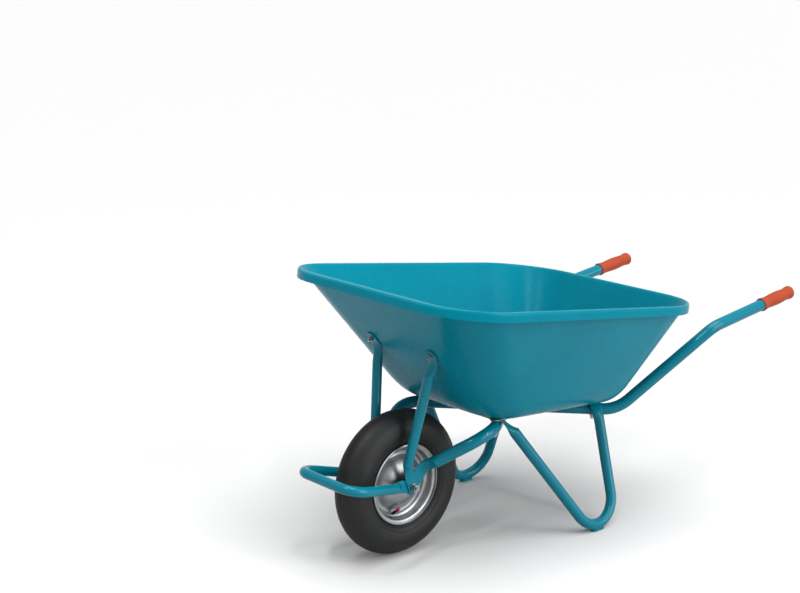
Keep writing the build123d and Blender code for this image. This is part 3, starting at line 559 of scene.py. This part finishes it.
def plated_steel(name, colour, roughness):
    """Bright plated steel: a fine grain with dull and bright patches."""
    material, tree, shader, coords = new_finish(name)
    patch = noise(tree, coords, scale=90.0, detail=4.0, roughness=0.6)
    grain = noise(tree, coords, scale=1400.0, detail=2.0)
    tint = mixed(tree, remap(tree, patch, low=0.0, high=1.0), shade(colour, 0.78), colour)
    tree.links.new(tint, shader.inputs["Base Color"])
    tree.links.new(remap(tree, patch, low=roughness + 0.12, high=roughness), shader.inputs["Roughness"])
    tree.links.new(bumped(tree, grain, distance=0.00004, strength=0.5), shader.inputs["Normal"])
    set_values(shader, Metallic=1.0)
    return material


def tyre_rubber(name, colour):
    """Moulded tyre rubber: dull, with a bloom of dust and a fine tooth."""
    material, tree, shader, coords = new_finish(name)
    dust = noise(tree, coords, scale=22.0, detail=6.0, roughness=0.62)
    tooth = noise(tree, coords, scale=1100.0, detail=3.0, roughness=0.6)
    bloom = remap(tree, dust, low=0.0, high=1.0, from_low=0.45, from_high=0.8)
    tint = mixed(tree, bloom, colour, shade(colour, 1.9))
    tree.links.new(tint, shader.inputs["Base Color"])
    tree.links.new(remap(tree, dust, low=0.46, high=0.62), shader.inputs["Roughness"])
    tree.links.new(bumped(tree, tooth, distance=0.0001, strength=0.6), shader.inputs["Normal"])
    set_values(shader, IOR=1.5, Specular_IOR_Level=0.25)
    return material


def paint_nodes(material, *nodes):
    """Give CAD nodes a finish in their own slots."""
    for name in nodes:
        node = frame["nodes"][name]
        if not node.material_slots:
            node.data.materials.append(material)
        for slot in node.material_slots:
            slot.material = material


def both(name):
    """Names of a left-hand node and its mirror image."""
    return f"{name}_left", f"{name}_right"


def node_middle(name):
    """Middle of a CAD node's box."""
    low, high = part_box(name)
    return (low + high) / 2


# Pieces


class WheelbarrowTrayBuild(bpy.types.Operator):
    """Mould the tray"""

    bl_idname = "wheelbarrow.build_tray"
    bl_label = "Tray"

    def execute(self, context):
        sizes = context.scene.wheelbarrow_tray
        colour = context.scene.wheelbarrow_finishes.tray
        material = moulded_plastic("tray_plastic", colour, roughness=0.24, grain=1300.0, blotch=5.0)
        tray = add_piece("moulded_tray", tray_shell(sizes), material, "root", ["tray"])
        if sum(face.normal.z * face.area for face in tray.data.polygons) < 0:
            tray.data.flip_normals()
        wall = tray.modifiers.new("Wall", "SOLIDIFY")
        wall.thickness = sizes.wall
        wall.offset = -1.0
        wall.use_even_offset = True
        edge = tray.modifiers.new("Edge", "BEVEL")
        edge.width = sizes.wall / 5
        edge.segments = 2
        edge.limit_method = "ANGLE"
        edge.angle_limit = radians(60)
        edge.harden_normals = True
        return {"FINISHED"}


class WheelbarrowTyreBuild(bpy.types.Operator):
    """Mould the tyre with its ribbed tread and sidewall rings"""

    bl_idname = "wheelbarrow.build_tyre"
    bl_label = "Tyre"

    def tread(self, sizes, shoulder):
        """Crown from one shoulder to the other, with its grooves."""
        crown = WHEEL_RADIUS
        reach, drop = shoulder[0], crown - shoulder[1]
        radius = (reach ** 2 + drop ** 2) / (2 * drop)
        cuts = []
        for k in range(sizes.grooves_per_side, -sizes.grooves_per_side - 1, -1):
            shallower = 1 - GROOVE_FADE * abs(k)
            for out, deep in GROOVE_SHAPE:
                cuts.append((k * sizes.groove_pitch + out * sizes.groove_width, deep * shallower))
        middle = crown - radius
        return [(y, middle + sqrt(radius ** 2 - y * y) - deep * sizes.groove_depth) for y, deep in cuts]

    def sidewall(self, sizes, shoulder):
        """Curve from the bead out and up to the shoulder, with moulded rings on it."""
        bead = (sizes.bead_half, sizes.bead_radius)
        line = arc(bead, (TYRE_HALF_WIDTH, sizes.widest_radius), shoulder, SIDEWALL_STEPS)
        raised = []
        for k, (y, r) in enumerate(line):
            lift = sizes.ring_height if k in RING_STEPS else 0.0
            raised.append((min(y + lift, TYRE_HALF_WIDTH), r))
        return raised

    def execute(self, context):
        sizes = context.scene.wheelbarrow_wheel
        shoulder = (TYRE_HALF_WIDTH - sizes.shoulder_in, WHEEL_RADIUS - sizes.shoulder_drop)
        side = self.sidewall(sizes, shoulder)
        other = [(-y, r) for y, r in reversed(side)]
        bead = [(sizes.bead_half, sizes.seat_radius), (sizes.bead_half - 0.002, sizes.seat_radius)]
        outline = bead[::-1] + side + self.tread(sizes, shoulder) + other + [(-y, r) for y, r in bead]
        bm = spin_outline(outline, AXLE, Vector((0, 1, 0)), TYRE_STEPS)
        material = tyre_rubber("tyre_rubber", context.scene.wheelbarrow_finishes.tyre)
        add_piece("ribbed_tyre", bm, material, "wheel", ["tyre"])
        return {"FINISHED"}


class WheelbarrowRimBuild(bpy.types.Operator):
    """Press the two halves of the rim"""

    bl_idname = "wheelbarrow.build_rim"
    bl_label = "Rim"

    def execute(self, context):
        sizes = context.scene.wheelbarrow_wheel
        colour = context.scene.wheelbarrow_finishes.zinc
        material = turned_metal("pressed_zinc", colour, roughness=0.36, centre=AXLE)
        roll = [(0.0380, 0.1080), (0.0378, 0.1106), (0.0352, 0.1118), (0.0330, 0.1095), (0.0322, 0.1030)]
        seat = [(0.0300, 0.0998), (0.0230, 0.0990), (0.0165, 0.0985), (0.0120, 0.0958), (0.0092, 0.0905)]
        well = [(0.0060, 0.0886), (0.0016, 0.0880), (0.0012, 0.0820), (0.0018, 0.0766), (0.0078, 0.0712)]
        dome = [(0.0168, 0.0640), (0.0250, 0.0540), (0.0302, 0.0425), (0.0324, 0.0310), (0.0330, 0.0205)]
        line = eased(roll + seat + well + dome)
        for name, way in (("rim_half_left", 1), ("rim_half_right", -1)):
            outline = [(way * y, r) for y, r in line]
            bm = spin_outline(outline, AXLE, Vector((0, 1, 0)), RIM_STEPS, closed=False)
            half = add_piece(f"pressed_{name}", bm, material, "wheel", [name])
            sheet = half.modifiers.new("Sheet", "SOLIDIFY")
            sheet.thickness = sizes.rim_sheet
            sheet.offset = 0.0
        return {"FINISHED"}


class WheelbarrowValveBuild(bpy.types.Operator):
    """Shape the valve stem and its cap"""

    bl_idname = "wheelbarrow.build_valve"
    bl_label = "Valve"

    def execute(self, context):
        finishes = context.scene.wheelbarrow_finishes
        stem_middle = node_middle("valve_stem")
        cap_middle = node_middle("valve_cap")
        along = (cap_middle - stem_middle).normalized()
        stem = [(-0.016, 0.0), (-0.016, 0.0040), (0.002, 0.0040), (0.006, 0.0034), (0.010, 0.0036)]
        stem = eased(stem, rounds=1)
        stem += [(0.0118, 0.0036), (0.0122, 0.0024), (0.0175, 0.0024), (0.0175, 0.0)]
        rubber = moulded_plastic("valve_rubber", finishes.rubber, roughness=0.5, grain=1500.0, blotch=40.0)
        bm = spin_outline(stem, stem_middle, along, STEM_STEPS, closed=False)
        add_piece("rubber_valve_stem", bm, rubber, "wheel", ["valve_stem"])
        cap = [(-0.0044, 0.0026), (-0.0044, 0.0040), (0.0030, 0.0041), (0.0040, 0.0034), (0.0045, 0.0022)]
        cap += [(0.0045, 0.0), (0.0030, 0.0), (0.0030, 0.0026)]
        bm = spin_outline(cap, cap_middle, along, CAP_STEPS)
        red = moulded_plastic("valve_cap_plastic", finishes.cap, roughness=0.4, grain=1500.0, blotch=40.0)
        add_piece("screwed_valve_cap", bm, red, "wheel", ["valve_cap"])
        return {"FINISHED"}


class WheelbarrowGripBuild(bpy.types.Operator):
    """Mould the two handle grips"""

    bl_idname = "wheelbarrow.build_grips"
    bl_label = "Grips"

    def execute(self, context):
        sizes = context.scene.wheelbarrow_grips
        colour = context.scene.wheelbarrow_finishes.grip
        material = moulded_plastic("grip_plastic", colour, roughness=0.42, grain=900.0, blotch=16.0)
        knob = [(0.0, 0.0), (0.0, 0.0110), (0.0015, 0.0160), (0.0060, 0.0196), (0.0115, 0.0202)]
        palm = [(0.0175, 0.0196), (0.0250, 0.0181), (0.0380, 0.0180), (0.0520, 0.0193), (0.0680, 0.0199)]
        waist = [(0.0880, 0.0197), (0.1040, 0.0186), (0.1160, 0.0180), (0.1270, 0.0182), (0.1340, 0.0192)]
        collar = [(0.1385, 0.0200), (0.1420, 0.0202), (0.1450, 0.0202), (0.1460, 0.0198)]
        bore = [(0.1460, sizes.bore), (sizes.end_wall, sizes.bore), (sizes.end_wall, 0.0)]
        outline = eased(knob + palm + waist + collar) + bore
        inward = Vector((sizes.run, 0, -sizes.climb)).normalized()
        for name, side in (("grip_left", 1), ("grip_right", -1)):
            end = Vector((AXLE.x - sizes.reach, side * sizes.side, sizes.end_height))
            bm = spin_outline(outline, end, inward, GRIP_STEPS, closed=False)
            add_piece(f"moulded_{name}", bm, material, "root", [name])
        return {"FINISHED"}


class WheelbarrowMetalFinish(bpy.types.Operator):
    """Finish the tubes, plate, bearings and fasteners"""

    bl_idname = "wheelbarrow.finish_metal"
    bl_label = "Metalwork"

    def execute(self, context):
        finishes = context.scene.wheelbarrow_finishes
        paint = powder_coat("frame_powder_coat", finishes.paint)
        tubes = [*both("frame_tube"), *both("front_strut"), *both("leg"), *both("foot_shoe")]
        paint_nodes(paint, *tubes, "front_loop", "centre_weld")
        sheet = galvanised("plate_spangle", finishes.zinc, spangle=85.0, darkest=0.62, roughness=0.34)
        paint_nodes(sheet, "support_plate")
        zinc = plated_steel("fastener_zinc", finishes.zinc, roughness=0.22)
        axle = ["axle_bolt", "axle_washers", "axle_nut"]
        tray = ["tray_bolts", "tray_bolt_washers", "tray_bolt_nuts"]
        struts = ["strut_bolts", "strut_bolt_washers", "strut_bolt_nuts"]
        paint_nodes(zinc, *axle, *tray, *struts)
        hub = turned_metal("hub_zinc", finishes.zinc, roughness=0.26, centre=AXLE)
        paint_nodes(hub, "hub_tube", "axle_sleeve")
        paint_nodes(plated_steel("roller_steel", finishes.zinc, roughness=0.12), *both("rollers"))
        rubber = finishes.rubber
        black = moulded_plastic("bearing_plastic", rubber, roughness=0.4, grain=1200.0, blotch=30.0)
        paint_nodes(black, *both("roller_cage"), *both("dust_cap"))
        tube = moulded_plastic("inner_tube_rubber", rubber, roughness=0.55, grain=800.0, blotch=20.0)
        paint_nodes(tube, "inner_tube")
        return {"FINISHED"}


class WheelbarrowStageBuild(bpy.types.Operator):
    """Set the floor, the soft lights and the camera"""

    bl_idname = "wheelbarrow.build_stage"
    bl_label = "Stage"

    def floor(self, stage):
        """Wide pale floor."""
        bm = bmesh.new()
        bmesh.ops.create_grid(bm, x_segments=2, y_segments=2, size=FLOOR_REACH)
        mesh = bpy.data.meshes.new("studio_floor")
        bm.to_mesh(mesh)
        bm.free()
        floor = bpy.data.objects.new("studio_floor", mesh)
        bpy.context.scene.collection.objects.link(floor)
        material, _, shader, _ = new_finish("studio_floor")
        set_values(shader, Base_Color=stage.floor, Roughness=0.9)
        mesh.materials.append(material)

    def strip_light(self, name, place, power, size):
        """Narrow area light aimed at the barrow."""
        data = bpy.data.lights.new(name, "AREA")
        data.energy = power
        data.shape = "RECTANGLE"
        data.size, data.size_y = size
        lamp = bpy.data.objects.new(name, data)
        lamp.location = place
        lamp.rotation_euler = (STRIP_TARGET - place).to_track_quat("-Z", "Y").to_euler()
        bpy.context.scene.collection.objects.link(lamp)

    def soft_light(self, name, direction, strength):
        """Very broad distant light along a direction."""
        data = bpy.data.lights.new(name, "SUN")
        data.energy = strength
        data.angle = SOFT_LIGHT_SPREAD
        lamp = bpy.data.objects.new(name, data)
        lamp.rotation_euler = direction.to_track_quat("-Z", "Y").to_euler()
        bpy.context.scene.collection.objects.link(lamp)

    def camera(self):
        """Camera ahead of the barrow, on its left, a little above it."""
        data = bpy.data.cameras.new("camera")
        data.lens = CAMERA_LENS
        data.shift_x, data.shift_y = CAMERA_SHIFT
        data.clip_end = VIEW_REACH
        camera = bpy.data.objects.new("camera", data)
        round_it, above = radians(CAMERA_AZIMUTH), radians(CAMERA_ELEVATION)
        back = Vector((sin(round_it) * cos(above), -cos(round_it) * cos(above), sin(above)))
        camera.location = CAMERA_TARGET + back * CAMERA_DISTANCE
        right = Vector((cos(round_it), sin(round_it), 0))
        up = back.cross(right)
        aim = -back + right * CAMERA_TURN[0] + up * CAMERA_TURN[1]
        turn = aim.to_track_quat("-Z", "Y").to_matrix() @ Matrix.Rotation(radians(CAMERA_ROLL), 3, "Z")
        camera.rotation_euler = turn.to_euler()
        bpy.context.scene.collection.objects.link(camera)
        bpy.context.scene.camera = camera

    def execute(self, context):
        stage = context.scene.wheelbarrow_stage
        self.floor(stage)
        world = bpy.data.worlds.new("studio")
        world.use_nodes = True
        world.node_tree.nodes["Background"].inputs["Color"].default_value = (1.0, 1.0, 1.0, 1.0)
        world.node_tree.nodes["Background"].inputs["Strength"].default_value = stage.sky
        context.scene.world = world
        self.soft_light("overhead", OVERHEAD_DIRECTION, stage.overhead)
        self.soft_light("side", SIDE_DIRECTION, stage.side)
        for name, (place, size) in STRIPS.items():
            self.strip_light(name, place, stage.strip_power, size)
        context.scene.view_settings.view_transform = "Standard"
        self.camera()
        return {"FINISHED"}


BUILDERS = (
    WheelbarrowTrayBuild,
    WheelbarrowTyreBuild,
    WheelbarrowRimBuild,
    WheelbarrowValveBuild,
    WheelbarrowGripBuild,
    WheelbarrowMetalFinish,
    WheelbarrowStageBuild,
)
SETTINGS = {
    "wheelbarrow_tray": WheelbarrowTraySizes,
    "wheelbarrow_wheel": WheelbarrowWheelSizes,
    "wheelbarrow_grips": WheelbarrowGripSizes,
    "wheelbarrow_finishes": WheelbarrowFinishes,
    "wheelbarrow_stage": WheelbarrowStage,
}


class WheelbarrowPanel(bpy.types.Panel):
    """Lists the builders and their sizes"""

    bl_idname = "VIEW3D_PT_wheelbarrow"
    bl_label = "Wheelbarrow"
    bl_space_type = "VIEW_3D"
    bl_region_type = "UI"
    bl_category = "Wheelbarrow"

    def draw(self, context):
        layout = self.layout
        for builder in BUILDERS:
            layout.operator(builder.bl_idname)
        for name in SETTINGS:
            box = layout.box()
            settings = getattr(context.scene, name)
            for value in settings.__annotations__:
                box.prop(settings, value)


def register():
    for settings in SETTINGS.values():
        bpy.utils.register_class(settings)
    for builder in BUILDERS:
        bpy.utils.register_class(builder)
    bpy.utils.register_class(WheelbarrowPanel)
    for name, settings in SETTINGS.items():
        setattr(bpy.types.Scene, name, bpy.props.PointerProperty(type=settings))


def unregister():
    for name in SETTINGS:
        delattr(bpy.types.Scene, name)
    bpy.utils.unregister_class(WheelbarrowPanel)
    for builder in reversed(BUILDERS):
        bpy.utils.unregister_class(builder)
    for settings in SETTINGS.values():
        bpy.utils.unregister_class(settings)


def main():
    """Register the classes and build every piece."""
    register()
    for builder in BUILDERS:
        group, name = builder.bl_idname.split(".")
        getattr(getattr(bpy.ops, group), name)()


if __name__ == "__main__":
    main()
